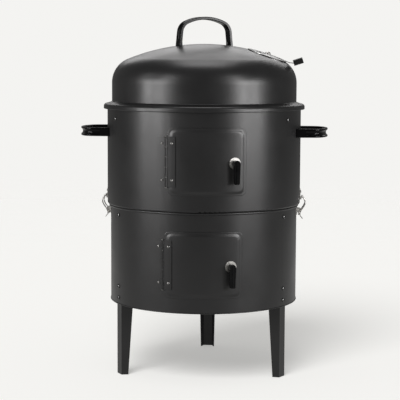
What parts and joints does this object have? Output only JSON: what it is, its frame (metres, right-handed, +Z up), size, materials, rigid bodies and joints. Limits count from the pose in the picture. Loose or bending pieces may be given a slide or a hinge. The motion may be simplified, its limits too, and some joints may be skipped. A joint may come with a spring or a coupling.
{
  "type": "vertical water smoker",
  "caption": "Upright charcoal water smoker: a domed lid with a vent over stacked barrels with doors, folded legs, carry handles, and grates and bowls inside.",
  "frame": {"origin": "on the barrels' common axis at the floor, midway between the three feet", "axes": "+Z up the barrels' axis, -Y out towards the doors, +X to the right as the doors are faced"},
  "size_m": [0.5112, 0.4152, 0.729],
  "materials": {
    "powder_black": "satin",
    "hinge_black": "satin",
    "enamel_black": "gloss",
    "bakelite_black": "gloss",
    "grip_black": "matte",
    "damper_steel": "satin",
    "zinc": "satin",
    "screw_dark": "satin",
    "wire_chrome": "polished"
  },
  "bodies": {
    "base": {"upper_barrel": "powder_black", "lower_barrel": "powder_black", "front_left_leg": "powder_black", "front_right_leg": "powder_black", "rear_leg": "powder_black", "leg_screws": "screw_dark", "leg_nuts": "zinc", "upper_brackets": "zinc", "lower_brackets": "zinc", "charcoal_brackets": "zinc", "bracket_screws": "screw_dark", "bracket_nuts": "zinc", "left_side_handle": "bakelite_black", "right_side_handle": "bakelite_black", "side_handle_screws": "zinc", "upper_frame_leaf": "hinge_black", "upper_hinge_pin": "zinc", "lower_frame_leaf": "hinge_black", "lower_hinge_pin": "zinc", "frame_leaf_rivets": "zinc", "left_clip_base": "zinc", "left_clip_catch": "zinc", "left_clip_pin": "zinc", "right_clip_base": "zinc", "right_clip_catch": "zinc", "right_clip_pin": "zinc", "clip_rivets": "zinc"},
    "lid": {"lid": "powder_black", "lid_handle": "bakelite_black", "lid_handle_screws": "zinc", "vent_pivot": "zinc"},
    "vent": {"vent_damper": "damper_steel", "vent_grip": "grip_black"},
    "upper_door": {"upper_door": "powder_black", "upper_door_leaf": "hinge_black", "upper_door_rivets": "zinc", "upper_latch_plate": "zinc"},
    "upper_latch": {"upper_latch_lever": "bakelite_black", "upper_latch_spindle": "zinc", "upper_latch_tongue": "zinc", "upper_latch_nut": "zinc"},
    "lower_door": {"lower_door": "powder_black", "lower_door_leaf": "hinge_black", "lower_door_rivets": "zinc", "lower_latch_plate": "zinc"},
    "lower_latch": {"lower_latch_lever": "bakelite_black", "lower_latch_spindle": "zinc", "lower_latch_tongue": "zinc", "lower_latch_nut": "zinc"},
    "left_clip": {"left_clip_lever": "zinc"},
    "left_bail": {"left_clip_bail": "zinc"},
    "right_clip": {"right_clip_lever": "zinc"},
    "right_bail": {"right_clip_bail": "zinc"},
    "upper_grate": {"upper_grate": "wire_chrome"},
    "lower_grate": {"lower_grate": "wire_chrome"},
    "water_bowl": {"water_bowl": "enamel_black"},
    "charcoal_bowl": {"charcoal_bowl": "enamel_black"}
  },
  "joints": [
    {"name": "lid_lift", "type": "slide", "parent": "base", "child": "lid", "axis": [0, 0, 1], "range_m": [0, 0.15]},
    {"name": "vent_turn", "type": "hinge", "parent": "lid", "child": "vent", "pos_m": [0.13037, -0.02065, 0.65205], "axis": [0.3142, -0.0498, 0.9481], "range_deg": [0, 60]},
    {"name": "upper_door_swing", "type": "hinge", "parent": "base", "child": "upper_door", "pos_m": [-0.06345, -0.19378, 0.4443], "axis": [0, 0, -1], "range_deg": [0, 150]},
    {"name": "upper_latch_turn", "type": "hinge", "parent": "upper_door", "child": "upper_latch", "pos_m": [0.07086, -0.19034, 0.4419], "axis": [0.3489, -0.9372, 0], "range_deg": [0, 90]},
    {"name": "lower_door_swing", "type": "hinge", "parent": "base", "child": "lower_door", "pos_m": [-0.07056, -0.18415, 0.2408], "axis": [0, 0, -1], "range_deg": [0, 150]},
    {"name": "lower_latch_turn", "type": "hinge", "parent": "lower_door", "child": "lower_latch", "pos_m": [0.06381, -0.18575, 0.2384], "axis": [0.3249, -0.9458, 0], "range_deg": [0, 90]},
    {"name": "left_clip_lever_swing", "type": "hinge", "parent": "base", "child": "left_clip", "pos_m": [-0.1985, 0, 0.3315], "axis": [0, 1, 0], "range_deg": [0, 150]},
    {"name": "left_bail_swing", "type": "hinge", "parent": "left_clip", "child": "left_bail", "pos_m": [-0.1993, 0, 0.324], "axis": [0, 1, 0], "range_deg": [-180, 0]},
    {"name": "right_clip_lever_swing", "type": "hinge", "parent": "base", "child": "right_clip", "pos_m": [0.1985, 0, 0.3315], "axis": [0, -1, 0], "range_deg": [0, 150]},
    {"name": "right_bail_swing", "type": "hinge", "parent": "right_clip", "child": "right_bail", "pos_m": [0.1993, 0, 0.324], "axis": [0, -1, 0], "range_deg": [-180, 0]},
    {"name": "upper_grate_lift", "type": "slide", "parent": "base", "child": "upper_grate", "axis": [0, 0, 1], "range_m": [0, 0.05]},
    {"name": "lower_grate_lift", "type": "slide", "parent": "base", "child": "lower_grate", "axis": [0, 0, 1], "range_m": [0, 0.16]},
    {"name": "water_bowl_lift", "type": "slide", "parent": "base", "child": "water_bowl", "axis": [0, 0, 1], "range_m": [0, 0.012]},
    {"name": "charcoal_bowl_lift", "type": "slide", "parent": "base", "child": "charcoal_bowl", "axis": [0, 0, 1], "range_m": [0, 0.045]}
  ],
  "couplings": [
    {"joint": "left_bail_swing", "follows": "left_clip_lever_swing", "ratio": -1.2},
    {"joint": "right_bail_swing", "follows": "right_clip_lever_swing", "ratio": -1.2}
  ]
}
